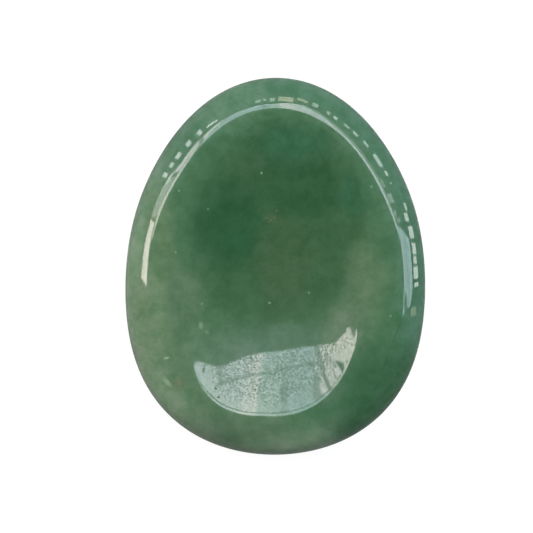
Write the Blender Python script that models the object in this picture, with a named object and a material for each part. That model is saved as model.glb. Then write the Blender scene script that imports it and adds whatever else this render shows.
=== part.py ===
"""A palm stone: one egg-shaped piece of polished green stone with a thumb hollow in its upper face.

Metres, +Z up. The narrow end points along +Y. The origin is under the middle of the outline, in
the small flat spot that the stone rests on.
"""
import math

import bmesh
import bpy

MM = 0.001

# The outline from above: a radius about the origin that changes with direction
MEAN_RADIUS = 20.19 * MM
LENGTHENING = 2.345 * MM
LENGTHENING_SKEW = 0.059 * MM
FLANK_DROP = 0.663 * MM
NARROW_END_TAPER = 0.485 * MM
SHOULDER_FULLNESS = 0.186 * MM

# Heights above the surface that the stone rests on
THICKNESS = 7.5 * MM
WIDEST_HEIGHT = 3.5 * MM

# The rounded rim is a quarter of an ellipse from the widest line up to the level land
RIM_WIDTH = 3.95 * MM

# The underside is a low dome around the flat spot
FLAT_SPOT_SHARE = 0.36
DOME_FULLNESS = 2.5

# The thumb hollow: an egg-shaped oval, a little off centre and leaning
HOLLOW_CENTRE = (0.35 * MM, -0.15 * MM)
HOLLOW_HALF_WIDTH = 10.9 * MM
HOLLOW_HALF_LENGTH = 17.8 * MM
HOLLOW_LEAN = math.radians(-5.0)
HOLLOW_TAPER = 0.045
HOLLOW_SQUARENESS = 2.3
HOLLOW_DEPTH = 2.4 * MM
HOLLOW_BOWL = 2.1
LIP_SOFTNESS = 0.03

# Rings of faces in each band, from the middle of the hollow round to the middle of the flat spot
SECTORS = 96
HOLLOW_RINGS = 11
LIP_RINGS = 3
LAND_RINGS = 2
RIM_RINGS = 9
UNDERSIDE_RINGS = 12
FLAT_SPOT_RINGS = 2
LIP_START = 0.95

STONE_COLOUR = (0.075, 0.205, 0.105, 1.0)
STONE_ROUGHNESS = 0.06


def clear_scene():
    """Remove every object that the file opened with."""
    for item in list(bpy.data.objects):
        bpy.data.objects.remove(item, do_unlink=True)


def outline_radius(direction):
    """Distance from the origin to the widest line in one direction."""
    return (
        MEAN_RADIUS
        - LENGTHENING * math.cos(2 * direction)
        + LENGTHENING_SKEW * math.sin(2 * direction)
        - FLANK_DROP * math.sin(direction)
        - NARROW_END_TAPER * math.sin(3 * direction)
        + SHOULDER_FULLNESS * math.sin(5 * direction)
    )


def outline_point(direction, inset):
    """Point seen from above, at a distance in from the widest line."""
    reach = outline_radius(direction) - inset
    return reach * math.cos(direction), reach * math.sin(direction)


def rounded(value):
    """Cosine or sine of a squared-off oval, with its sign kept."""
    return math.copysign(abs(value) ** (2 / HOLLOW_SQUARENESS), value)


def hollow_point(turn, share):
    """Point in the hollow seen from above: share is 0 in the middle and 1 on the lip."""
    across = HOLLOW_HALF_WIDTH * (1 - HOLLOW_TAPER * math.sin(turn)) * rounded(math.cos(turn))
    along = HOLLOW_HALF_LENGTH * rounded(math.sin(turn))
    x = across * math.cos(HOLLOW_LEAN) - along * math.sin(HOLLOW_LEAN)
    y = across * math.sin(HOLLOW_LEAN) + along * math.cos(HOLLOW_LEAN)
    return HOLLOW_CENTRE[0] + share * x, HOLLOW_CENTRE[1] + share * y


def hollow_drop(share):
    """Depth of the hollow below the land, with a softly rounded lip."""
    bowl = 1 - share ** HOLLOW_BOWL
    return HOLLOW_DEPTH * (1 + LIP_SOFTNESS) * bowl * bowl / (bowl + LIP_SOFTNESS)


def ring_in_hollow(turn, ring):
    """Point on the hollow, whose last rings crowd up to the lip."""
    if ring <= HOLLOW_RINGS:
        share = LIP_START * ring / HOLLOW_RINGS
    else:
        share = LIP_START + (1 - LIP_START) * (ring - HOLLOW_RINGS) / LIP_RINGS
    x, y = hollow_point(turn, share)
    return x, y, THICKNESS - hollow_drop(share)


def ring_on_land(turn, direction, ring):
    """Point on the level land between the hollow's lip and the rounded rim."""
    share = ring / LAND_RINGS
    lip = hollow_point(turn, 1.0)
    shoulder = outline_point(direction, RIM_WIDTH)
    x = lip[0] + share * (shoulder[0] - lip[0])
    y = lip[1] + share * (shoulder[1] - lip[1])
    return x, y, THICKNESS


def ring_on_rim(direction, ring):
    """Point on the rounded rim, from the land down to the widest line."""
    angle = math.pi / 2 * ring / RIM_RINGS
    x, y = outline_point(direction, RIM_WIDTH * (1 - math.sin(angle)))
    return x, y, WIDEST_HEIGHT + (THICKNESS - WIDEST_HEIGHT) * math.cos(angle)


def ring_on_underside(direction, ring):
    """Point on the low dome, from the widest line in to the flat spot's edge."""
    angle = math.pi / 2 * (1 - ring / UNDERSIDE_RINGS)
    out = math.sin(angle) ** (2 / DOME_FULLNESS)
    up = math.cos(angle) ** (2 / DOME_FULLNESS)
    reach = outline_radius(direction) * (FLAT_SPOT_SHARE + (1 - FLAT_SPOT_SHARE) * out)
    return reach * math.cos(direction), reach * math.sin(direction), WIDEST_HEIGHT * (1 - up)


def ring_on_flat_spot(direction, ring):
    """Point on the flat spot that the stone rests on."""
    reach = outline_radius(direction) * FLAT_SPOT_SHARE * (1 - ring / FLAT_SPOT_RINGS)
    return reach * math.cos(direction), reach * math.sin(direction), 0.0


def surface_point(turn, ring):
    """Point on the stone for a turn about +Z and a ring counted from the middle of the hollow."""
    lip = hollow_point(turn, 1.0)
    direction = math.atan2(lip[1], lip[0])
    if ring <= HOLLOW_RINGS + LIP_RINGS:
        return ring_in_hollow(turn, ring)
    ring -= HOLLOW_RINGS + LIP_RINGS
    if ring <= LAND_RINGS:
        return ring_on_land(turn, direction, ring)
    ring -= LAND_RINGS
    if ring <= RIM_RINGS:
        return ring_on_rim(direction, ring)
    ring -= RIM_RINGS
    if ring <= UNDERSIDE_RINGS:
        return ring_on_underside(direction, ring)
    return ring_on_flat_spot(direction, ring - UNDERSIDE_RINGS)


def make_stone_mesh(name):
    """Turn a sphere's rings into the stone's section, one ring at a time."""
    rings = HOLLOW_RINGS + LIP_RINGS + LAND_RINGS + RIM_RINGS + UNDERSIDE_RINGS + FLAT_SPOT_RINGS
    shape = bmesh.new()
    bmesh.ops.create_uvsphere(shape, u_segments=SECTORS, v_segments=rings, radius=1.0)
    for vertex in shape.verts:
        height = max(-1.0, min(1.0, vertex.co.z))
        ring = round(math.acos(height) / math.pi * rings)
        turn = math.atan2(vertex.co.y, vertex.co.x)
        vertex.co = surface_point(turn, ring)
    bmesh.ops.recalc_face_normals(shape, faces=shape.faces[:])
    mesh = bpy.data.meshes.new(name)
    shape.to_mesh(mesh)
    shape.free()
    mesh.shade_smooth()
    return mesh


def make_polished_stone():
    """Glossy green stone."""
    material = bpy.data.materials.new("polished_green_stone")
    material.use_nodes = True
    shader = material.node_tree.nodes["Principled BSDF"]
    shader.inputs["Base Color"].default_value = STONE_COLOUR
    shader.inputs["Roughness"].default_value = STONE_ROUGHNESS
    shader.inputs["Metallic"].default_value = 0.0
    return material


def main():
    """Build the palm stone in its own collection."""
    clear_scene()
    collection = bpy.data.collections.new("palm_stone")
    bpy.context.scene.collection.children.link(collection)
    stone = bpy.data.objects.new("stone", make_stone_mesh("stone"))
    stone.data.materials.append(make_polished_stone())
    collection.objects.link(stone)


main()
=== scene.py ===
"""The looks of a polished green palm stone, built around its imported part.

Metres throughout, +Z up. The narrow end points along +Y, and the origin lies under the middle of
the outline, in the flat spot that the stone rests on.
"""
import logging
import math
from dataclasses import dataclass, field, fields
from enum import Enum
from typing import Any, Sequence, Union

import bpy
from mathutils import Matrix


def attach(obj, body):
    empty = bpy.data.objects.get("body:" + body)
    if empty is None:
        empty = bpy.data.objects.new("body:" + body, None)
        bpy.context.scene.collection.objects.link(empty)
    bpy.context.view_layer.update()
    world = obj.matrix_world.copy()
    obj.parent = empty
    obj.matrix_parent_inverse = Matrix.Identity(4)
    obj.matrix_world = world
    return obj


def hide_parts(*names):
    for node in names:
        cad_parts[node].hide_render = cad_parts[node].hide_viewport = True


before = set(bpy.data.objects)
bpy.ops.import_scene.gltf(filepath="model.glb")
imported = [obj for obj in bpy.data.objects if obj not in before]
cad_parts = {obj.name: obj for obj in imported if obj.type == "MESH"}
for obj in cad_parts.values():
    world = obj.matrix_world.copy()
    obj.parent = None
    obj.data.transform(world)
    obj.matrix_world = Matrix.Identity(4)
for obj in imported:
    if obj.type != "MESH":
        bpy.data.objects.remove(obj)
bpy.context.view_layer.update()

MM = 0.001
LOG = logging.getLogger("palm_stone")
LIP_GAP = "lip_gap"
RIM_INSET = "rim_inset"
NOISE_MIDDLE = 0.5
LEAST_SPAN = 1e-6
RIGHT_ANGLE = 90.0

Colour = tuple[float, float, float]
Operand = Union["Term", float, int]

WHITE: Colour = (1.0, 1.0, 1.0)
AMBER: Colour = (1.0, 0.94, 0.70)
PALE_SKY: Colour = (0.88, 1.0, 0.97)
BLUSH: Colour = (1.0, 0.88, 0.95)
LEAF: Colour = (1.0, 0.97, 0.92)
PALE_FLECK: Colour = (0.22, 0.31, 0.20)
PALE_BLOTCH: Colour = (0.27, 0.37, 0.25)
OLIVE_SPECK: Colour = (0.130, 0.195, 0.105)
RUSTY_FLECK: Colour = (0.17, 0.16, 0.09)
DARK_FLECK: Colour = (0.02, 0.06, 0.03)


class Parts(Enum):
    """Nodes that take three numbers out of one value."""

    VECTOR = "ShaderNodeSeparateXYZ"
    COLOUR = "ShaderNodeSeparateColor"


class Blend(Enum):
    """Ways of mixing two colours."""

    MIX = "MIX"
    MULTIPLY = "MULTIPLY"


class Term:
    """A node socket that takes Python's operators: each operator adds a Math node to its tree."""

    def __init__(self, sheet: "NodeSheet", socket: bpy.types.NodeSocket) -> None:
        """Hold an output socket and the sheet that it belongs to."""
        self.sheet = sheet
        self.socket = socket

    def __add__(self, other: Operand) -> "Term":
        """Sum."""
        return self.sheet.math("ADD", self, other)

    __radd__ = __add__

    def __sub__(self, other: Operand) -> "Term":
        """Difference."""
        return self.sheet.math("SUBTRACT", self, other)

    def __rsub__(self, other: Operand) -> "Term":
        """Difference from a number on the left."""
        return self.sheet.math("SUBTRACT", other, self)

    def __mul__(self, other: Operand) -> "Term":
        """Product."""
        return self.sheet.math("MULTIPLY", self, other)

    __rmul__ = __mul__

    def __truediv__(self, other: Operand) -> "Term":
        """Quotient."""
        return self.sheet.math("DIVIDE", self, other)

    def __rtruediv__(self, other: Operand) -> "Term":
        """Quotient of a number on the left."""
        return self.sheet.math("DIVIDE", other, self)

    def __pow__(self, other: Operand) -> "Term":
        """Power."""
        return self.sheet.math("POWER", self, other)

    def __neg__(self) -> "Term":
        """The value with its sign turned."""
        return self.sheet.math("MULTIPLY", self, -1.0)

    def __abs__(self) -> "Term":
        """The value without its sign."""
        return self.sheet.math("ABSOLUTE", self)

    def __gt__(self, other: Operand) -> "Term":
        """1 where the value is more than the other, and 0 elsewhere."""
        return self.sheet.math("GREATER_THAN", self, other)

    def clamped(self) -> "Term":
        """The value kept between 0 and 1."""
        return self.sheet.math("MINIMUM", self.sheet.math("MAXIMUM", self, 0.0), 1.0)

    def ramped(self, start: Operand, end: Operand) -> "Term":
        """A smooth step from 0 at the start to 1 at the end, which may be below the start."""
        return self.sheet.read("ShaderNodeMapRange", 0, {"interpolation_type": "SMOOTHSTEP"},
                               {"Value": self, "From Min": start, "From Max": end})

    def labelled(self, name: str) -> "Term":
        """The same value, with its node labelled for whoever opens the tree."""
        self.socket.node.label = name
        return self


class NodeSheet:
    """A node tree with short ways to add nodes to it."""

    def __init__(self, tree: bpy.types.NodeTree) -> None:
        """Hold a node tree."""
        self.tree = tree

    @classmethod
    def blank(cls, owner: Any) -> "NodeSheet":
        """Give a material or a world an empty node tree."""
        owner.use_nodes = True
        owner.node_tree.nodes.clear()
        return cls(owner.node_tree)

    def add(self, kind: str, settings: dict[str, Any] | None = None,
            sockets: dict[Any, Any] | None = None) -> bpy.types.Node:
        """Add any node: its type first, then its settings, then its sockets.

        Args:
            kind: the node's type.
            settings: values of the node itself; "stops" are a ramp's places and colours.
            sockets: values or links of its inputs, by name or number.

        Returns:
            The new node.
        """
        node = self.tree.nodes.new(kind)
        for name, value in (settings or {}).items():
            if name == "stops":
                self.set_stops(node.color_ramp, value)
            elif name == "interpolation":
                node.color_ramp.interpolation = value
            else:
                setattr(node, name, value)
        for name, value in (sockets or {}).items():
            self.feed(node.inputs[name], value)
        return node

    def read(self, kind: str, output: Any, settings: dict[str, Any] | None = None,
             sockets: dict[Any, Any] | None = None) -> Term:
        """Add a node as add() does, and return its output of that name or number."""
        return Term(self, self.add(kind, settings, sockets).outputs[output])

    def feed(self, socket: bpy.types.NodeSocket, value: Any) -> None:
        """Link a term to an input, or set the input's own value."""
        if isinstance(value, Term):
            self.tree.links.new(value.socket, socket)
        elif isinstance(value, (tuple, list)) and len(value) == 3 and socket.type == "RGBA":
            socket.default_value = (*value, 1.0)
        else:
            socket.default_value = value

    @staticmethod
    def set_stops(ramp: bpy.types.ColorRamp, stops: Sequence[tuple[float, Colour]]) -> None:
        """Give a ramp its places and colours."""
        while len(ramp.elements) < len(stops):
            ramp.elements.new(1.0)
        for element, (place, colour) in zip(ramp.elements, stops):
            element.position = place
            element.color = (*colour, 1.0)

    def curve(self, value: Term, points: Sequence[tuple[float, float]]) -> Term:
        """Look a value up on straight lines between points.

        Args:
            value: the value that is looked up.
            points: pairs of a value and its result, in rising order of the value.

        Returns:
            The result, held level past either end.
        """
        first, last = points[0][0], points[-1][0]
        low = min(result for _, result in points)
        span = max(max(result for _, result in points) - low, LEAST_SPAN)
        node = self.add("ShaderNodeFloatCurve", None, {"Value": (value - first) / (last - first)})
        line = node.mapping.curves[0]
        while len(line.points) < len(points):
            line.points.new(1.0, 1.0)
        for spot, (at, result) in zip(line.points, points):
            spot.location = ((at - first) / (last - first), (result - low) / span)
            spot.handle_type = "VECTOR"
        node.mapping.update()
        return Term(self, node.outputs[0]) * span + low

    def math(self, operation: str, *values: Operand) -> Term:
        """Add a Math node and return its result."""
        return self.read("ShaderNodeMath", 0, {"operation": operation}, dict(enumerate(values)))

    def vector(self, operation: str, *values: Any) -> Term:
        """Add a Vector Math node and return its vector."""
        return self.read("ShaderNodeVectorMath", "Vector", {"operation": operation}, dict(enumerate(values)))

    def flattened(self, vector: Term) -> Term:
        """A vector without its height."""
        return self.vector("MULTIPLY", vector, (1.0, 1.0, 0.0))

    def scaled(self, vector: Term, by: Any) -> Term:
        """A vector times a number."""
        return self.read("ShaderNodeVectorMath", "Vector", {"operation": "SCALE"}, {0: vector, "Scale": by})

    def joined(self, x: Operand, y: Operand, z: Operand) -> Term:
        """A vector made of three numbers."""
        return self.read("ShaderNodeCombineXYZ", 0, None, {0: x, 1: y, 2: z})

    def split(self, value: Term, parts: Parts = Parts.VECTOR) -> tuple[Term, ...]:
        """The three numbers of a vector or a colour."""
        return tuple(Term(self, output) for output in self.add(parts.value, None, {0: value}).outputs[:3])

    def blended(self, share: Operand, first: Any, second: Any, blend: Blend = Blend.MIX) -> Term:
        """Mix two colours: a share of 0 gives the first and 1 the second."""
        settings = {"data_type": "RGBA", "blend_type": blend.value}
        return self.read("ShaderNodeMix", 2, settings, {0: share, 6: first, 7: second})

    def noise(self, place: Term, scale: Operand, detail: float, roughness: float = 0.5) -> Term:
        """Fractal noise from about 0 to 1: scale is lumps in a unit, detail is how many finer layers."""
        return self.read("ShaderNodeTexNoise", 0, {"noise_dimensions": "3D"},
                         {"Vector": place, "Scale": scale, "Detail": detail, "Roughness": roughness})


def placed(name: str, data: Any) -> bpy.types.Object:
    """Put a mesh or a camera in the scene, and return its object."""
    thing = bpy.data.objects.new(name, data)
    bpy.context.scene.collection.objects.link(thing)
    return thing


@dataclass(frozen=True)
class StoneSizes:
    """Sizes of the stone. Each one is a named input of the surface's node tree.

    Those before lip_easing are the part's own, but for a mean radius 0.02 mm smaller, which keeps the
    finer mesh inside the part's box. The rest is shaping that is too fine for the part.
    """

    mean_radius: float = 20.17 * MM
    lengthening: float = 2.345 * MM
    lengthening_skew: float = 0.059 * MM
    flank_drop: float = 0.663 * MM
    narrow_end_taper: float = 0.485 * MM
    shoulder_fullness: float = 0.186 * MM
    thickness: float = 7.5 * MM
    widest_height: float = 3.5 * MM
    rim_width: float = 3.95 * MM
    flat_spot_share: float = 0.36
    dome_fullness: float = 2.5
    hollow_centre_x: float = 0.35 * MM
    hollow_centre_y: float = -0.15 * MM
    hollow_half_width: float = 10.9 * MM
    hollow_half_length: float = 17.8 * MM
    hollow_lean: float = math.radians(-5.0)
    hollow_taper: float = 0.045
    hollow_squareness: float = 2.3
    hollow_depth: float = 2.4 * MM
    hollow_bowl: float = 2.1
    lip_softness: float = 0.03
    lip_easing: float = 0.085
    low_corners: float = 0.02
    low_left_corner: float = 0.042
    low_right_corner: float = -0.02
    brow_drop: float = 0.13 * MM
    brow_start: float = 4.5 * MM
    brow_end: float = 2.3 * MM
    shoulder_height: float = 0.42 * MM
    shoulder_reach: float = 1.55 * MM
    shoulder_spread: float = 1.1
    wave_height: float = 0.008 * MM
    wave_scale: float = 210.0


@dataclass(frozen=True)
class StoneRings:
    """How many rings of faces each band of the surface has, from the hollow round to the flat spot."""

    sectors: int = 300
    hollow: int = 84
    lip: int = 18
    land: int = 12
    rim: int = 48
    underside: int = 36
    flat_spot: int = 3
    lip_start: float = 0.93

    @property
    def total(self) -> int:
        """Rings in the whole surface."""
        return self.hollow + self.lip + self.land + self.rim + self.underside + self.flat_spot


@dataclass
class StoneSurface:
    """The stone's closed surface: a sheet of turns by rings that Geometry Nodes wrap round the section."""

    name: str = "polished_palm_stone"
    sizes: StoneSizes = field(default_factory=StoneSizes)
    rings: StoneRings = field(default_factory=StoneRings)
    weld: float = 0.001 * MM
    easing_start: float = -0.45
    easing_end: float = -0.15
    wave_detail: float = 1.0
    waves_from: float = 0.1 * MM
    waves_full: float = 1.5 * MM

    def outline_radius(self, sheet: NodeSheet, size: dict[str, Term], direction: Term) -> Term:
        """Distance from the origin to the widest line, in a direction in radians."""
        return (
            size["mean_radius"]
            - size["lengthening"] * sheet.math("COSINE", direction * 2.0)
            + size["lengthening_skew"] * sheet.math("SINE", direction * 2.0)
            - size["flank_drop"] * sheet.math("SINE", direction)
            - size["narrow_end_taper"] * sheet.math("SINE", direction * 3.0)
            + size["shoulder_fullness"] * sheet.math("SINE", direction * 5.0)
        )

    def hollow_outline(self, sheet: NodeSheet, size: dict[str, Term], turn: Term) -> tuple[Term, Term]:
        """The hollow's lip seen from above, about the hollow's own middle.

        Args:
            sheet: the tree that is being built.
            size: the tree's named inputs.
            turn: the turn about the middle, in radians.

        Returns:
            Distances across and along the stone.
        """
        def rounded(value: Term) -> Term:
            """Cosine or sine of a squared-off oval, with its sign kept."""
            return sheet.math("SIGN", value) * abs(value) ** (2.0 / size["hollow_squareness"])

        sine, cosine = sheet.math("SINE", turn), sheet.math("COSINE", turn)
        low = (-sine).clamped()
        # The factors 4 and 2 bring each term to 1 at its corner, an eighth of a turn below level.
        fuller = 1.0 + size["low_corners"] * 4.0 * low * low * cosine * cosine
        fuller = fuller + size["low_left_corner"] * 2.0 * low * (-cosine).clamped()
        fuller = fuller + size["low_right_corner"] * 2.0 * low * cosine.clamped()
        across = size["hollow_half_width"] * (1.0 - size["hollow_taper"] * sine) * rounded(cosine) * fuller
        along = size["hollow_half_length"] * rounded(sine) * fuller
        lean_cosine = sheet.math("COSINE", size["hollow_lean"])
        lean_sine = sheet.math("SINE", size["hollow_lean"])
        return across * lean_cosine - along * lean_sine, across * lean_sine + along * lean_cosine

    def rim_relief(self, sheet: NodeSheet, size: dict[str, Term], inset: Term, direction: Term,
                   quarter: Term) -> Term:
        """Hand shaping of the rim: a brow that slopes away outside the lip, and a fuller right shoulder.

        Args:
            sheet: the tree that is being built.
            size: the tree's named inputs.
            inset: how far in from the widest line the point is.
            direction: the point's direction from the origin, in radians.
            quarter: the angle round the rim, from 0 on its top to a quarter turn at the widest line.

        Returns:
            How much higher the point is than on a plain round rim.
        """
        down = ((size["brow_start"] - inset) / (size["brow_start"] - size["brow_end"])).clamped()
        brow = size["brow_drop"] * down * down * (3.0 - 2.0 * down) * sheet.math("COSINE", quarter)
        near_edge = (1.0 - inset / size["shoulder_reach"]).clamped()
        side = (abs(direction) / size["shoulder_spread"]).clamped()
        shoulder = size["shoulder_height"] * near_edge * near_edge * (1.0 - side * side)
        return shoulder * sheet.math("SINE", quarter * 2.0).clamped() - brow

    def section(self, sheet: NodeSheet, size: dict[str, Term]) -> tuple[Term, Term, Term]:
        """Every point of the surface, from its place in the flat sheet.

        Args:
            sheet: the tree that is being built.
            size: the tree's named inputs.

        Returns:
            The point, how far inside the hollow's lip it is, and its inset from the widest line.
        """
        rings = self.rings
        # The flat sheet reaches from -0.5 to 0.5 both ways.
        u, v, _ = sheet.split(sheet.read("GeometryNodeInputPosition", 0))
        turn = (u + 0.5) * math.tau
        ring = sheet.math("ROUND", (v + 0.5) * float(rings.total))

        def band(start: int, count: int) -> Term:
            """Share of the way through a band of rings."""
            return ((ring - float(start)) / float(count)).clamped()

        lip_ring = rings.hollow
        land_ring = lip_ring + rings.lip
        rim_ring = land_ring + rings.land
        under_ring = rim_ring + rings.rim
        spot_ring = under_ring + rings.underside
        share = band(0, rings.hollow) * rings.lip_start + band(lip_ring, rings.lip) * (1.0 - rings.lip_start)

        lip_x, lip_y = self.hollow_outline(sheet, size, turn)
        x = size["hollow_centre_x"] + share * lip_x
        y = size["hollow_centre_y"] + share * lip_y
        lip_gap = (1.0 - share) * sheet.math("SQRT", lip_x * lip_x + lip_y * lip_y)
        bowl = 1.0 - share ** size["hollow_bowl"]
        eased = sheet.math("SINE", turn).ramped(self.easing_start, self.easing_end)
        softness = size["lip_softness"] + size["lip_easing"] * eased
        drop = size["hollow_depth"] * (1.0 + softness) * bowl * bowl / (bowl + softness)

        direction = sheet.math("ARCTAN2", lip_y + size["hollow_centre_y"], lip_x + size["hollow_centre_x"])
        radius = self.outline_radius(sheet, size, direction)
        towards_x = sheet.math("COSINE", direction)
        towards_y = sheet.math("SINE", direction)

        quarter = band(rim_ring, rings.rim) * (math.pi / 2)
        land = band(land_ring, rings.land)
        past_land = size["rim_width"] * sheet.math("SINE", quarter)
        x = x + land * ((radius - size["rim_width"]) * towards_x - x) + past_land * towards_x
        y = y + land * ((radius - size["rim_width"]) * towards_y - y) + past_land * towards_y
        place = sheet.math("ARCTAN2", y, x)
        inset = self.outline_radius(sheet, size, place) - sheet.math("SQRT", x * x + y * y)
        rim_height = size["thickness"] - size["widest_height"]
        z = size["thickness"] - drop - rim_height * (1.0 - sheet.math("COSINE", quarter))
        z = z + self.rim_relief(sheet, size, inset, place, quarter)

        under_angle = (1.0 - band(under_ring, rings.underside)) * (math.pi / 2)
        power = 2.0 / size["dome_fullness"]
        out = sheet.math("SINE", under_angle) ** power
        up = sheet.math("MAXIMUM", sheet.math("COSINE", under_angle), 0.0) ** power
        spot = size["flat_spot_share"]
        reach = radius * (spot + (1.0 - spot) * out) * (1.0 - band(spot_ring, rings.flat_spot))
        # The rings past the widest line belong to the underside.
        below = ring > under_ring + 0.5
        x = x + below * (reach * towards_x - x)
        y = y + below * (reach * towards_y - y)
        z = z + below * (size["widest_height"] * (1.0 - up) - z)
        inset = inset + below * (radius - reach - inset)
        return sheet.joined(x, y, z), lip_gap, inset

    def build_tree(self) -> bpy.types.NodeTree:
        """Build the node tree that makes the surface.

        Returns:
            The tree, with one named input for each size.
        """
        tree = bpy.data.node_groups.new(self.name + "_surface", "GeometryNodeTree")
        sheet = NodeSheet(tree)
        for size in fields(self.sizes):
            socket = tree.interface.new_socket(size.name, in_out="INPUT", socket_type="NodeSocketFloat")
            socket.default_value = getattr(self.sizes, size.name)
        tree.interface.new_socket("Material", in_out="INPUT", socket_type="NodeSocketMaterial")
        tree.interface.new_socket("Geometry", in_out="OUTPUT", socket_type="NodeSocketGeometry")
        inputs = sheet.add("NodeGroupInput")
        size = {item.name: Term(sheet, inputs.outputs[item.name]) for item in fields(self.sizes)}

        shape = sheet.read("GeometryNodeMeshGrid", "Mesh", None, {
            "Size X": 1.0, "Size Y": 1.0,
            "Vertices X": self.rings.sectors + 1, "Vertices Y": self.rings.total + 1})

        def passed(kind: str, settings: dict[str, Any] | None = None, **sockets: Any) -> Term:
            """The shape after one more node."""
            return sheet.read(kind, 0, settings, {0: shape, **sockets})

        point, lip_gap, inset = self.section(sheet, size)
        kept_as = {"data_type": "FLOAT", "domain": "POINT"}
        for name, value in ((LIP_GAP, lip_gap), (RIM_INSET, inset)):
            shape = passed("GeometryNodeStoreNamedAttribute", kept_as, Name=name, Value=value)
        shape = passed("GeometryNodeSetPosition", Position=point)
        shape = passed("GeometryNodeMergeByDistance", Distance=self.weld)
        shape = passed("GeometryNodeFlipFaces")
        shape = passed("GeometryNodeSetPosition", Offset=self.waves(sheet, size))
        shape = passed("GeometryNodeRealizeInstances")
        shape = passed("GeometryNodeSetMaterial", Material=Term(sheet, inputs.outputs["Material"]))
        sheet.add("NodeGroupOutput", None, {"Geometry": shape})
        return tree

    def waves(self, sheet: NodeSheet, size: dict[str, Term]) -> Term:
        """Faint waves that hand polishing leaves, always inwards, and none on the flat spot."""
        place = sheet.read("GeometryNodeInputPosition", 0)
        _, _, height = sheet.split(place)
        normal = sheet.read("GeometryNodeInputNormal", 0)
        depth = sheet.noise(place, size["wave_scale"], self.wave_detail) * size["wave_height"]
        return sheet.scaled(normal, -depth * height.ramped(self.waves_from, self.waves_full))

    def build(self, material: bpy.types.Material) -> bpy.types.Object:
        """Make the stone as a plain mesh in its place.

        Args:
            material: the finish that the whole stone has.

        Returns:
            The stone's object, at the origin.
        """
        stone = placed(self.name, bpy.data.meshes.new(self.name))
        modifier = stone.modifiers.new("surface", "NODES")
        modifier.node_group = self.build_tree()
        for socket in modifier.node_group.interface.items_tree:
            if socket.item_type == "SOCKET" and socket.in_out == "INPUT":
                value = material if socket.name == "Material" else getattr(self.sizes, socket.name)
                modifier[socket.identifier] = value
        shape = stone.evaluated_get(bpy.context.evaluated_depsgraph_get())
        mesh = bpy.data.meshes.new_from_object(shape)
        stone.modifiers.remove(modifier)
        stone.data = mesh
        mesh.name = self.name
        mesh.shade_smooth()
        return stone


@dataclass(frozen=True)
class Oval:
    """A soft oval seen from above: its middle, its half sizes, and how far it is turned from +X."""

    x: float
    y: float
    across: float
    along: float
    lean: float = 0.0

    def share(self, sheet: NodeSheet, place: Term, core: float, level: float = 0.0,
              depth: float = 1.0) -> Term:
        """How strong the oval is at a point: 1 in its core, a share of its reach, and 0 outside it.

        Level and depth are its middle and its half size in height.
        """
        inner = sheet.read("ShaderNodeMapping", 0, {"vector_type": "TEXTURE"}, {
            "Vector": place, "Location": (self.x, self.y, level), "Rotation": (0.0, 0.0, self.lean),
            "Scale": (self.across, self.along, depth)})
        reach = sheet.read("ShaderNodeVectorMath", "Value", {"operation": "LENGTH"}, {0: inner})
        return reach.ramped(1.0, core)


@dataclass(frozen=True)
class TintZone:
    """A soft cloud of body colour inside the stone."""

    name: str
    oval: Oval
    colour: Colour
    core: float = 0.3
    level: float = 5.0 * MM
    depth: float = 9.0 * MM

    def lay(self, sheet: NodeSheet, place: Term, under: Any) -> Term:
        """Lay the zone over a colour and return the result."""
        share = self.oval.share(sheet, place, self.core, self.level, self.depth)
        return sheet.blended(share, under, self.colour).labelled(self.name)


@dataclass(frozen=True)
class Fleck:
    """A small mark in the upper face."""

    name: str
    oval: Oval
    colour: Colour = PALE_FLECK
    strength: float = 0.6
    core: float = 0.2

    def lay(self, sheet: NodeSheet, plan: Term, under: Any) -> Term:
        """Lay the mark over a colour and return the result."""
        share = self.oval.share(sheet, plan, self.core) * self.strength
        return sheet.blended(share, under, self.colour).labelled(self.name)


def oval_mm(x: float, y: float, across: float, along: float, lean: float = 0.0) -> Oval:
    """An oval from its middle and its half sizes in millimetres."""
    return Oval(x * MM, y * MM, across * MM, along * MM, lean)


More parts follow.
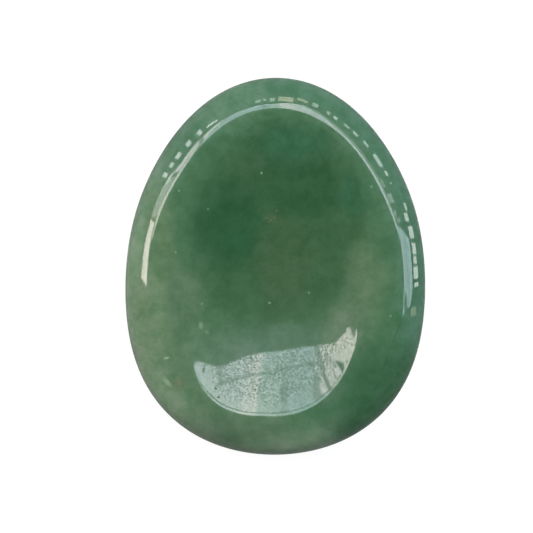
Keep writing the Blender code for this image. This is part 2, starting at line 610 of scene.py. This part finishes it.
@dataclass(frozen=True)
class PolishedGreenStone:
    """The finish: milky green stone, softly clouded, with a wet-looking polish and tiny pits, and a painted
    glow of light on its rim.
    """

    name: str = "polished_green_stone"
    body: Colour = (0.056, 0.135, 0.066)
    # Painted light: rim colours that brighten towards the widest line, paler on the lower-left side where
    # the light falls.
    painted_lit_rim: Colour = (0.181, 0.268, 0.167)
    painted_dim_rim: Colour = (0.064, 0.149, 0.091)
    edge_start: float = 4.5 * MM
    edge_full: float = 0.8 * MM
    lit_side: tuple[float, float] = (-0.75, -0.66)
    lit_side_from: float = -6.0 * MM
    lit_side_full: float = 15.0 * MM
    refraction: float = 1.54
    milkiness: float = 0.7
    bleed: Colour = (0.7, 1.0, 0.75)
    bleed_length: float = 2.0 * MM
    polish: float = 0.03
    unpolished: float = 0.5
    cloud_scale: float = 450.0
    cloud_detail: float = 6.0
    cloud_roughness: float = 0.74
    cloud_range: tuple[float, float] = (0.25, 0.75)
    cloud_dark: Colour = (0.69, 0.865, 0.74)
    cloud_pale: Colour = (1.37, 1.21, 1.32)
    drift_scale: float = 190.0
    drift_detail: float = 3.0
    zone_warp: float = 3.0 * MM
    fleck_warp: float = 0.15 * MM
    marks_from: float = 3.0 * MM
    marks_full: float = 4.0 * MM
    lip_line: float = 0.50 * MM
    lip_line_width: float = 0.10 * MM
    lip_line_core: float = 0.02 * MM
    lip_line_from: float = -11.0 * MM
    lip_line_full: float = -14.0 * MM
    lip_line_wear: float = 0.7
    rim_polish: float = 0.88
    hollow_polish: float = 0.58
    worn_polish: float = 0.70
    rubbed_reach: float = 3.2 * MM
    rim_wear: float = 0.3
    worn_wear: float = 1.9
    wear_scale: float = 450.0
    wear_detail: float = 1.0
    wear: float = 0.75
    grain_scale: float = 4600.0
    grain_level: float = 0.45
    grain_wear: float = 1.5
    worn_core: float = 0.5
    pit_core: float = 0.5
    worn: Oval = oval_mm(7.9, -9.3, 4.2, 3.8)
    under_zone: TintZone = TintZone(
        "pale_lower_left", oval_mm(-15.5, -14, 17, 17), (0.099, 0.164, 0.094), 0.15)
    zones: tuple[TintZone, ...] = (
        TintZone("core", oval_mm(0.5, 4, 14.5, 16), (0.0395, 0.101, 0.044), 0.5),
        TintZone("dark_left_heart", oval_mm(-5.5, 5, 6.5, 7.5), (0.022, 0.085, 0.034)),
        TintZone("top_heart", oval_mm(3, 9.5, 7, 5.5), (0.027, 0.091, 0.036)),
        TintZone("blue_top", oval_mm(2, 14.5, 6, 3.5), (0.036, 0.120, 0.057)),
        TintZone("pale_top_left", oval_mm(-6.5, 19.5, 9, 5, 0.4), (0.086, 0.172, 0.104)),
        TintZone("blue_right", oval_mm(9, 8.5, 3, 4), (0.035, 0.113, 0.054)),
        TintZone("olive_middle", oval_mm(1, 0.5, 5, 8), (0.047, 0.101, 0.045)),
        TintZone("low_hollow", oval_mm(0, -12.5, 12, 7), (0.087, 0.153, 0.098), 0.4),
        TintZone("right_wall", oval_mm(10.5, -2, 3.5, 8), (0.086, 0.153, 0.079)),
        TintZone("low_right_wall", oval_mm(8.5, -7.5, 4, 5.5), (0.098, 0.161, 0.094)),
        TintZone("left_land", oval_mm(-14.5, -5, 4.5, 9), (0.132, 0.200, 0.113)),
        TintZone("left_flank", oval_mm(-13.5, 3, 2.5, 8), (0.090, 0.160, 0.078)),
        TintZone("left_wall", oval_mm(-10.5, -4, 3.5, 7), (0.084, 0.150, 0.082)),
        TintZone("pale_bottom", oval_mm(-3.5, -18.5, 9, 4), (0.086, 0.154, 0.086), 0.4),
        TintZone("deep_lower_right", oval_mm(13, -16.5, 9.5, 9.5), (0.034, 0.102, 0.046), 0.45),
    )
    flecks: tuple[Fleck, ...] = (
        Fleck("top_speck", oval_mm(-1.66, 11.1, 0.2, 0.22), PALE_FLECK, 1.0),
        Fleck("left_speck_a", oval_mm(-11.47, 8.95, 0.2, 0.2)),
        Fleck("left_speck_b", oval_mm(-8, 6.79, 0.16, 0.18)),
        Fleck("left_speck_c", oval_mm(-11.83, 1.65, 0.2, 0.2)),
        Fleck("left_speck_d", oval_mm(-8.72, -4.45, 0.2, 0.2)),
        Fleck("middle_speck", oval_mm(-0.71, -4.33, 0.24, 0.2), PALE_FLECK, 0.7),
        Fleck("right_speck_a", oval_mm(3.96, -3.13, 0.2, 0.2), PALE_FLECK, 0.5),
        Fleck("right_speck_b", oval_mm(11.37, 9.42, 0.2, 0.2)),
        Fleck("right_speck_c", oval_mm(13.65, -5.88, 0.2, 0.2), PALE_FLECK, 0.5),
        Fleck("flank_speck", oval_mm(-17.21, -6.12, 0.22, 0.22)),
        Fleck("middle_rust", oval_mm(-0.4, 5.7, 1, 0.8), (0.085, 0.116, 0.062), 0.5, 0.1),
        Fleck("olive_speck_a", oval_mm(-1.06, 5.78, 0.2, 0.16), OLIVE_SPECK),
        Fleck("olive_speck_b", oval_mm(-0.53, 5.5, 0.26, 0.16), OLIVE_SPECK),
        Fleck("olive_speck_c", oval_mm(-0.08, 5.8, 0.22, 0.14), OLIVE_SPECK),
        Fleck("olive_speck_d", oval_mm(0.13, 6.61, 0.18, 0.16), (0.150, 0.180, 0.105), 0.7),
        Fleck("olive_speck_e", oval_mm(-0.77, 5.22, 0.24, 0.12), OLIVE_SPECK, 0.5),
        Fleck("ring_blotch", oval_mm(-8.85, -7, 0.42, 0.6)),
        Fleck("ring_blotch_tail", oval_mm(-8.1, -7.8, 0.45, 0.3, -0.5), PALE_FLECK, 0.35),
        Fleck("low_dash", oval_mm(-12.9, -10.85, 0.5, 0.19, 0.3), PALE_BLOTCH, 1.0),
        Fleck("low_blotch", oval_mm(-12.85, -13.75, 0.95, 0.42, -0.8), PALE_BLOTCH, 0.75),
        Fleck("low_rust", oval_mm(-11.45, -13.85, 1.3, 0.95), RUSTY_FLECK, 0.45, 0.0),
        Fleck("right_hairline_a", oval_mm(14.24, -8.2, 2.3, 0.2, 1.19), DARK_FLECK, 0.28),
        Fleck("right_hairline_b", oval_mm(13, -11.5, 1.4, 0.2, 1.25), DARK_FLECK, 0.25),
    )
    pits: tuple[Oval, ...] = (
        oval_mm(6.3, -9.1, 0.35, 0.14, -0.5),
        oval_mm(6.9, -9.3, 0.18, 0.22),
        oval_mm(8.45, -8.05, 0.14, 0.12),
        oval_mm(9, -9.2, 0.15, 0.14),
        oval_mm(8.5, -11.3, 0.26, 0.12, 0.3),
        oval_mm(7.1, -11.9, 0.2, 0.12, 0.5),
        oval_mm(-8.5, -12.3, 0.16, 0.42, -0.1),
        oval_mm(-6.75, -15.5, 0.22, 0.18),
        oval_mm(-4.1, -11, 0.2, 0.14),
        oval_mm(-2.9, -10.9, 0.18, 0.14),
        oval_mm(-7.1, -14.5, 0.3, 0.1, -0.6),
    )

    def paint(self, sheet: NodeSheet, place: Term, inset: Term) -> Term:
        """Colour of the stone's body, with painted light near the widest line: a glow of the thin rim, paler
        on its lower-left side and dimmer elsewhere.

        Args:
            sheet: the material's nodes.
            place: the point, in metres.
            inset: how far in from the widest line it is.

        Returns:
            The colour.
        """
        drift = sheet.read("ShaderNodeTexNoise", "Color", None,
                           {"Vector": place, "Scale": self.drift_scale, "Detail": self.drift_detail})
        drift = sheet.vector("SUBTRACT", drift, (NOISE_MIDDLE,) * 3)
        clouded = sheet.vector("ADD", place, sheet.scaled(drift, self.zone_warp))
        colour = self.under_zone.lay(sheet, clouded, self.body)
        x, y, z = sheet.split(clouded)
        # Painted light: the thin rim glows paler on the lower-left side and dimmer on the rest, more so near
        # the widest line.
        side = (x * self.lit_side[0] + y * self.lit_side[1]).ramped(self.lit_side_from, self.lit_side_full)
        edge = sheet.blended(side, self.painted_dim_rim, self.painted_lit_rim)
        colour = sheet.blended(inset.ramped(self.edge_start, self.edge_full), colour, edge)
        for zone in self.zones:
            colour = zone.lay(sheet, clouded, colour)
        cloud = sheet.noise(place, self.cloud_scale, self.cloud_detail, self.cloud_roughness)
        clouds = sheet.blended(cloud.ramped(*self.cloud_range), self.cloud_dark, self.cloud_pale)
        colour = sheet.blended(1.0, colour, clouds, Blend.MULTIPLY)
        plan = sheet.flattened(sheet.vector("ADD", place, sheet.scaled(drift, self.fleck_warp)))
        marked = colour
        for fleck in self.flecks:
            marked = fleck.lay(sheet, plan, marked)
        return sheet.blended(z.ramped(self.marks_from, self.marks_full), colour, marked)

    def polish_left(self, sheet: NodeSheet, place: Term, lip_gap: Term) -> Term:
        """How much polish is left: less in the rubbed hollow, its pits and the line inside its low lip.

        Args:
            sheet: the material's nodes.
            place: the point, in metres.
            lip_gap: how far inside the hollow's lip it is.

        Returns:
            0 for no polish and 1 for the full polish.
        """
        _, y, z = sheet.split(place)
        plan = sheet.flattened(place)
        coarse = (sheet.noise(place, self.wear_scale, self.wear_detail) - NOISE_MIDDLE) * self.wear
        dots = sheet.read("ShaderNodeTexVoronoi", "Distance", None,
                          {"Vector": place, "Scale": self.grain_scale})
        fine = (self.grain_level - dots) * self.grain_wear
        rubbed = lip_gap.ramped(0.0, self.rubbed_reach)
        worn = self.worn.share(sheet, plan, self.worn_core)
        left = self.rim_polish + rubbed * (self.hollow_polish - self.rim_polish)
        left = left + worn * (self.worn_polish - self.hollow_polish)
        spread = self.rim_wear + rubbed * (1.0 - self.rim_wear) + worn * (self.worn_wear - 1.0)
        left = left - (coarse + fine) * spread
        upper = z.ramped(self.marks_from, self.marks_full)
        for pit in self.pits:
            left = left - pit.share(sheet, plan, self.pit_core) * upper
        beside = abs(lip_gap - self.lip_line).ramped(self.lip_line_width, self.lip_line_core)
        left = left - beside * y.ramped(self.lip_line_from, self.lip_line_full) * self.lip_line_wear
        return left.clamped()

    def make(self) -> bpy.types.Material:
        """Build the material."""
        material = bpy.data.materials.new(self.name)
        sheet = NodeSheet.blank(material)
        place = sheet.read("ShaderNodeTexCoord", "Object")
        lip_gap = sheet.read("ShaderNodeAttribute", "Fac", {"attribute_name": LIP_GAP})
        inset = sheet.read("ShaderNodeAttribute", "Fac", {"attribute_name": RIM_INSET})
        shader = sheet.add("ShaderNodeBsdfPrincipled", None, {
            "Base Color": self.paint(sheet, place, inset),
            "Roughness": self.unpolished,
            "IOR": self.refraction,
            "Specular IOR Level": 0.0,
            "Coat Weight": self.polish_left(sheet, place, lip_gap),
            "Coat Roughness": self.polish,
            "Coat IOR": self.refraction,
            "Subsurface Weight": self.milkiness,
            "Subsurface Radius": self.bleed,
            "Subsurface Scale": self.bleed_length,
        })
        sheet.add("ShaderNodeOutputMaterial", None, {"Surface": Term(sheet, shader.outputs[0])})
        return material


@dataclass(frozen=True)
class Sky:
    """The direction of a ray from the stone, in the forms that the lights are drawn in."""

    across: Term
    away: Term
    bearing: Term
    tilt: Term
    grain: Term


@dataclass(frozen=True)
class WindowLight:
    """A soft window. Its edges are lines on a level plane one unit above the stone: +X across, +Y away."""

    name: str
    left: float
    right: float
    near: tuple[tuple[float, float], ...]
    far: tuple[tuple[float, float], ...]
    radiance: float
    tints: tuple[tuple[float, Colour], ...]
    end_softness: float = 0.04
    edge_softness: float = 0.012

    def share(self, sheet: NodeSheet, sky: Sky) -> Term:
        """How much of the window's light comes along a ray: 0 outside the window and 1 inside it."""
        ends = sky.across.ramped(self.left, self.left + self.end_softness)
        ends = ends * sky.across.ramped(self.right, self.right - self.end_softness)
        past_near = sky.away - sheet.curve(sky.across, self.near)
        before_far = sheet.curve(sky.across, self.far) - sky.away
        edges = past_near.ramped(0.0, self.edge_softness) * before_far.ramped(0.0, self.edge_softness)
        return (ends * edges).labelled(self.name)

    def colour(self, sheet: NodeSheet, sky: Sky) -> Term:
        """The window's colour along a ray, from its tints and the places across that they belong to."""
        first, last = self.tints[0][0], self.tints[-1][0]
        span = max(last - first, LEAST_SPAN)
        stops = [((place - first) / span, tint) for place, tint in self.tints]
        return sheet.read("ShaderNodeValToRGB", 0, {"stops": stops}, {0: (sky.across - first) / span})


@dataclass(frozen=True)
class Bar:
    """A glazing bar: a straight line on the windows' plane that takes light away."""

    name: str
    start: tuple[float, float]
    end: tuple[float, float]
    width: float
    strength: float
    core: float = 0.4
    end_softness: float = 0.05

    def share(self, sky: Sky) -> Term:
        """How much light passes the bar: 1 away from it."""
        length_x = self.end[0] - self.start[0]
        length_y = self.end[1] - self.start[1]
        length = math.hypot(length_x, length_y)
        offset_x = sky.across - self.start[0]
        offset_y = sky.away - self.start[1]
        along = (offset_x * (length_x / length) + offset_y * (length_y / length)) / length
        beside = abs(offset_x * (length_y / length) - offset_y * (length_x / length))
        ends = along.ramped(-self.end_softness, self.end_softness)
        ends = ends * along.ramped(1.0 + self.end_softness, 1.0 - self.end_softness)
        taken = ends * beside.ramped(self.width, self.width * self.core) * self.strength
        return (1.0 - taken).labelled(self.name)


@dataclass(frozen=True)
class Pane:
    """One small light in a row: its bearing and width, and the tilts that it reaches between."""

    bearing: float
    width: float
    low: float
    high: float
    brightness: float = 1.0


@dataclass(frozen=True)
class PaneRow:
    """A row of small lights side by side, in degrees of bearing from +X and of tilt from overhead."""

    name: str
    panes: tuple[Pane, ...]
    radiance: float
    tint: Colour
    margin: float = 1.0
    softness: float = 0.3
    unevenness: float = 1.5

    def share(self, sheet: NodeSheet, sky: Sky) -> Term:
        """How much of the row's light comes along a ray.

        Args:
            sheet: the room's nodes.
            sky: the ray's direction.

        Returns:
            0 outside the row's lights and their own brightness inside them.
        """
        ordered = sorted(self.panes, key=lambda pane: pane.bearing)
        first = ordered[0].bearing - ordered[0].width / 2 - self.margin
        last = ordered[-1].bearing + ordered[-1].width / 2 + self.margin
        stops = [(0.0, (0.0, 0.0, 0.0))]
        for pane in ordered:
            lit = (pane.brightness, pane.low / RIGHT_ANGLE, pane.high / RIGHT_ANGLE)
            stops.append(((pane.bearing - pane.width / 2 - first) / (last - first), lit))
            stops.append(((pane.bearing + pane.width / 2 - first) / (last - first), (0.0, lit[1], lit[2])))
        ramp = sheet.read("ShaderNodeValToRGB", 0, {"stops": stops, "interpolation": "CONSTANT"},
                          {0: (sky.bearing - first) / (last - first)})
        brightness, low, high = sheet.split(ramp, Parts.COLOUR)
        tilt = sky.tilt + (sky.grain - NOISE_MIDDLE) * self.unevenness
        above = (tilt - low * RIGHT_ANGLE).ramped(-self.softness, self.softness)
        below = (high * RIGHT_ANGLE - tilt).ramped(-self.softness, self.softness)
        return (brightness * above * below).labelled(self.name)


@dataclass(frozen=True)
class Room:
    """The light that falls on the stone: a dim room with soft windows on three sides."""

    dim: float = 0.25
    haze: float = 0.5
    haze_away: tuple[float, float] = (-0.1, 0.3)
    haze_tilt: tuple[float, float] = (75.0, 45.0)
    camera_white: float = 1.1
    lowest: float = 0.02
    streaks: tuple[float, float] = (2.2, 0.35)
    grain_scale: float = 9.0
    grain_detail: float = 4.0
    grain_roughness: float = 0.7
    grain_least: float = 0.65
    grain_strength: float = 0.7
    windows: tuple[WindowLight, ...] = (
        WindowLight(
            "back_window", left=-0.925, right=0.965,
            near=((-0.92, 0.155), (-0.86, 0.158), (-0.8, 0.205), (-0.69, 0.245), (-0.62, 0.262),
                  (-0.32, 0.275), (-0.07, 0.287), (0.04, 0.293), (0.15, 0.292), (0.27, 0.30), (0.36, 0.30),
                  (0.45, 0.284), (0.54, 0.26), (0.7, 0.217), (0.9, 0.17), (0.96, 0.1)),
            far=((-0.92, 0.30), (-0.86, 0.34), (-0.7, 0.36), (-0.58, 0.35), (-0.57, 0.56), (-0.46, 0.60),
                 (-0.23, 0.61), (0.0, 0.63), (0.14, 0.76), (0.25, 0.78), (0.31, 0.6), (0.38, 0.48),
                 (0.52, 0.41), (0.7, 0.35), (0.9, 0.25)),
            radiance=6.2,
            tints=((-0.9, (1.36, 1.25, 1.18)), (-0.44, (1.38, 1.27, 1.26)), (-0.37, (0.90, 0.98, 1.10)),
                   (-0.27, (0.66, 0.80, 0.89)), (-0.17, (0.70, 0.84, 0.95)), (-0.09, (0.71, 0.85, 0.97)),
                   (-0.03, (0.75, 0.92, 0.97)), (0.015, (0.83, 0.97, 1.02)), (0.035, (1.58, 1.46, 1.52)),
                   (0.07, (1.50, 1.40, 1.47)), (0.11, (1.20, 1.18, 1.27)), (0.16, (1.09, 1.13, 1.25)),
                   (0.40, (1.08, 1.13, 1.23)), (0.92, (0.90, 0.98, 1.07)))),
        WindowLight(
            "high_veil", left=0.26, right=0.9,
            near=((0.25, 0.78), (0.31, 0.6), (0.38, 0.48), (0.52, 0.41), (0.7, 0.35), (0.9, 0.25)),
            far=((0.25, 0.82), (0.38, 0.76), (0.43, 0.68), (0.51, 0.56), (0.61, 0.53), (0.7, 0.48),
                 (0.78, 0.42), (0.9, 0.27)),
            radiance=2.6, tints=((0.26, PALE_SKY), (0.9, PALE_SKY)), edge_softness=0.02),
        WindowLight(
            "bright_pane", left=-1.0, right=-0.575,
            near=((-1.0, 0.51), (-0.86, 0.46), (-0.575, 0.325)),
            far=((-1.0, 0.54), (-0.8, 0.50), (-0.68, 0.57), (-0.57, 0.58)),
            radiance=8.8, tints=((-1.0, BLUSH), (-0.575, BLUSH)), end_softness=0.02, edge_softness=0.02),
        WindowLight(
            "garden_wall", left=-1.56, right=-0.575,
            near=((-1.56, 0.44), (-1.48, 0.42), (-0.93, 0.26), (-0.92, 0.30), (-0.86, 0.34), (-0.7, 0.36),
                  (-0.575, 0.35)),
            far=((-1.56, 0.57), (-1.28, 0.61), (-1.14, 0.59), (-1.0, 0.54), (-0.86, 0.46), (-0.575, 0.325)),
            radiance=4.4, tints=((-1.56, LEAF), (-0.57, LEAF)), end_softness=0.03, edge_softness=0.02),
        WindowLight(
            "pale_block", left=-1.16, right=-0.94,
            near=((-1.16, 0.525), (-0.94, 0.455)),
            far=((-1.16, 0.60), (-0.94, 0.55)),
            radiance=3.6, tints=((-1.16, WHITE), (-0.94, WHITE)), end_softness=0.03),
        WindowLight(
            "left_window", left=-1.83, right=-0.955,
            near=((-1.8, 0.07), (-1.0, 0.015), (-0.9, 0.01)),
            far=((-1.83, -0.02), (-1.72, 0.24), (-1.6, 0.35), (-1.48, 0.42), (-0.89, 0.24)),
            radiance=12.0,
            tints=((-1.83, (0.88, 0.72, 0.70)), (-1.3, (0.92, 0.76, 0.74)), (-1.1, (1.05, 0.91, 0.87)),
                   (-0.93, (1.08, 0.94, 0.88))), end_softness=0.02),
        WindowLight(
            "right_window", left=0.94, right=3.25,
            near=((0.8, -0.115), (1.02, -0.11), (1.1, -0.1), (1.3, -0.1), (2.02, -0.15), (2.7, -0.1),
                  (3.3, 0.0)),
            far=((0.8, 0.20), (1.08, 0.255), (1.51, 0.315), (3.3, 0.56)),
            radiance=5.5,
            tints=((0.95, (0.80, 0.97, 1.10)), (1.2, (0.74, 0.88, 1.03)), (1.35, (0.62, 0.76, 0.91)),
                   (1.75, (0.66, 0.80, 0.96)), (2.1, (0.82, 0.95, 1.08)), (3.25, (0.84, 0.98, 1.08)))),
    )
    bars: tuple[Bar, ...] = (
        Bar("right_rail", (-0.38, 0.352), (0.0, 0.374), 0.011, 0.45),
        Bar("left_rail", (0.0, 0.388), (0.38, 0.386), 0.012, 0.45),
        Bar("low_post", (-0.33, 0.24), (-0.45, 0.40), 0.036, 0.55),
        Bar("high_post", (-0.44, 0.40), (-0.66, 0.61), 0.024, 0.75),
        Bar("left_post", (0.42, 0.26), (0.31, 0.40), 0.03, 0.35),
        Bar("low_shade", (-0.37, 0.41), (-0.33, 0.56), 0.055, 0.5),
        Bar("hanging_leaf", (-0.06, 0.44), (-0.065, 0.52), 0.035, 0.4),
        Bar("branch", (-0.46, 0.335), (-0.60, 0.355), 0.024, 0.35),
        Bar("low_twig", (-1.85, 0.17), (-1.45, 0.11), 0.025, 0.4),
        Bar("notch", (1.02, -0.045), (1.3, -0.075), 0.05, 0.9),
    )
    rows: tuple[PaneRow, ...] = (
        PaneRow("left_row", (
            Pane(152.7, 1.3, 59.5, 78), Pane(149.7, 1.4, 57.5, 72.5), Pane(146.6, 2.0, 54, 70),
            Pane(141.8, 2.1, 50, 65.5), Pane(136.0, 2.0, 46, 59.5), Pane(131.4, 2.0, 46.2, 49.2, 1.3),
            Pane(129.2, 2.0, 44.7, 47.8, 1.3), Pane(127.2, 1.8, 43.3, 46.3, 1.3),
        ), radiance=8.0, tint=WHITE),
        PaneRow("top_row", (
            Pane(119.0, 1.2, 39.8, 42.6, 0.4), Pane(111.1, 1.2, 39.6, 42.6, 0.4),
            Pane(101.1, 3.0, 38.8, 46, 0.6), Pane(97.0, 1.6, 40.5, 47, 0.62),
            Pane(91.9, 3.4, 38.7, 46.2, 0.68), Pane(65.6, 3.4, 46.6, 56.0, 0.75),
        ), radiance=7.1, tint=PALE_SKY),
        PaneRow("right_row", (
            Pane(57.6, 1.8, 46, 53.5, 0.85), Pane(53.4, 2.2, 46.5, 53.7), Pane(47.1, 2.8, 48.9, 57.4, 0.7),
            Pane(42.5, 2.4, 51.5, 61.0, 0.9), Pane(37.4, 2.4, 59, 67.2, 0.9), Pane(31.3, 4.2, 58.5, 73.6),
            Pane(27.3, 1.4, 65.5, 75.6), Pane(24.4, 0.7, 68, 74, 0.8),
        ), radiance=7.1, tint=PALE_SKY),
        PaneRow("faint_streaks", (
            Pane(14.7, 1.3, 45, 55, 0.38), Pane(16.6, 1.7, 43.5, 48.5, 0.5), Pane(20.9, 2.8, 42.5, 54, 0.52),
            Pane(25.4, 2.6, 42.5, 47.5, 0.42),
        ), radiance=7.1, tint=PALE_SKY),
        PaneRow("right_column", (
            Pane(17.8, 2.2, 82, 91, 0.8), Pane(15.0, 2.4, 75, 84), Pane(11.0, 2.9, 77, 91),
            Pane(7.2, 2.5, 78, 91), Pane(4.8, 1.5, 78, 87), Pane(2.4, 2.2, 77, 91), Pane(0.3, 0.8, 78, 91),
        ), radiance=7.6, tint=WHITE),
        PaneRow("lamps", (
            Pane(83.4, 9.4, 39.5, 50, 0.72), Pane(73.5, 6.6, 47, 54, 0.62), Pane(-5.3, 2.2, 71, 86, 0.33),
        ), radiance=7.1, tint=AMBER),
    )

    def read_sky(self, sheet: NodeSheet) -> Sky:
        """Work out a ray's direction in the forms that the lights need."""
        direction = sheet.read("ShaderNodeTexCoord", "Generated")
        x, y, z = sheet.split(direction)
        up = sheet.math("MAXIMUM", z, self.lowest)
        level = sheet.math("SQRT", x * x + y * y)
        bearing = sheet.math("DEGREES", sheet.math("ARCTAN2", y, x))
        tilt = sheet.math("DEGREES", sheet.math("ARCTAN2", level, z))
        streak = sheet.joined(x / up * self.streaks[0], y / up * self.streaks[1], 0.0)
        grain = sheet.noise(streak, self.grain_scale, self.grain_detail, self.grain_roughness)
        return Sky(x / up, y / up, bearing, tilt, grain)

    def build(self) -> None:
        """Light the world, and show it to the camera as plain white."""
        world = bpy.data.worlds.new("room")
        bpy.context.scene.world = world
        sheet = NodeSheet.blank(world)
        sky = self.read_sky(sheet)
        passing = self.grain_least + self.grain_strength * sky.grain
        for bar in self.bars:
            passing = passing * bar.share(sky)
        hazy = self.dim + self.haze * sky.away.ramped(*self.haze_away) * sky.tilt.ramped(*self.haze_tilt)
        glow = sheet.scaled(PALE_SKY, hazy)
        for window in self.windows:
            light = window.share(sheet, sky) * passing * window.radiance
            glow = sheet.vector("ADD", glow, sheet.scaled(window.colour(sheet, sky), light))
        for row in self.rows:
            light = row.share(sheet, sky) * row.radiance
            glow = sheet.vector("ADD", glow, sheet.scaled(row.tint, light))
        lit = sheet.read("ShaderNodeBackground", 0, None, {"Color": glow})
        plain = sheet.read("ShaderNodeBackground", 0, None, {"Color": WHITE, "Strength": self.camera_white})
        seen = sheet.read("ShaderNodeLightPath", "Is Camera Ray")
        shown = sheet.read("ShaderNodeMixShader", 0, None, {0: seen, 1: lit, 2: plain})
        sheet.add("ShaderNodeOutputWorld", None, {"Surface": shown})


@dataclass
class Studio:
    """Plain pale floor, soft window light, and a camera straight above the stone."""

    floor_size: float = 6.0
    floor_paint: float = 0.12
    floor_glow: float = 0.94
    floor_shine: float = 0.15
    camera_height: float = 531.7 * MM
    camera_x: float = -1.065 * MM
    camera_y: float = -0.024 * MM
    lens: float = 300.7
    sensor: float = 36.0
    nearest: float = 0.01
    farthest: float = 10.0
    room: Room = field(default_factory=Room)

    def lay_floor(self) -> None:
        """Lay the pale floor. It is white to the camera and duller in the stone's polish."""
        half = self.floor_size / 2
        mesh = bpy.data.meshes.new("floor")
        corners = [(-half, -half, 0), (half, -half, 0), (half, half, 0), (-half, half, 0)]
        mesh.from_pydata(corners, [], [(0, 1, 2, 3)])
        floor = placed("floor", mesh)
        material = bpy.data.materials.new("pale_floor")
        sheet = NodeSheet.blank(material)
        paint = sheet.read("ShaderNodeBsdfDiffuse", 0, None, {"Color": (self.floor_paint,) * 3})
        seen = sheet.read("ShaderNodeLightPath", "Is Camera Ray")
        mirrored = sheet.read("ShaderNodeLightPath", "Is Glossy Ray")
        strength = seen * self.floor_glow + mirrored * self.floor_shine
        glow = sheet.read("ShaderNodeEmission", 0, None, {"Color": WHITE, "Strength": strength})
        both = sheet.read("ShaderNodeAddShader", 0, None, {0: paint, 1: glow})
        sheet.add("ShaderNodeOutputMaterial", None, {"Surface": both})
        mesh.materials.append(material)

    def aim_camera(self) -> None:
        """Set the camera over the stone, looking straight down with +Y up in the picture."""
        lens = bpy.data.cameras.new("camera")
        lens.lens = self.lens
        lens.sensor_width = self.sensor
        lens.clip_start = self.nearest
        lens.clip_end = self.farthest
        camera = placed("camera", lens)
        camera.location = (self.camera_x, self.camera_y, self.camera_height + StoneSizes().widest_height)
        bpy.context.scene.camera = camera

    def build(self) -> None:
        """Build the whole studio."""
        self.aim_camera()
        self.lay_floor()
        self.room.build()
        bpy.context.scene.view_settings.view_transform = "Standard"


def main() -> None:
    """Build the stone and its studio."""
    logging.basicConfig(level=logging.INFO, format="%(message)s")
    Studio().build()
    stone = StoneSurface().build(PolishedGreenStone().make())
    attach(stone, "root")
    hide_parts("stone")
    LOG.info("%s: %d faces", stone.name, len(stone.data.polygons))


if __name__ == "__main__":
    main()
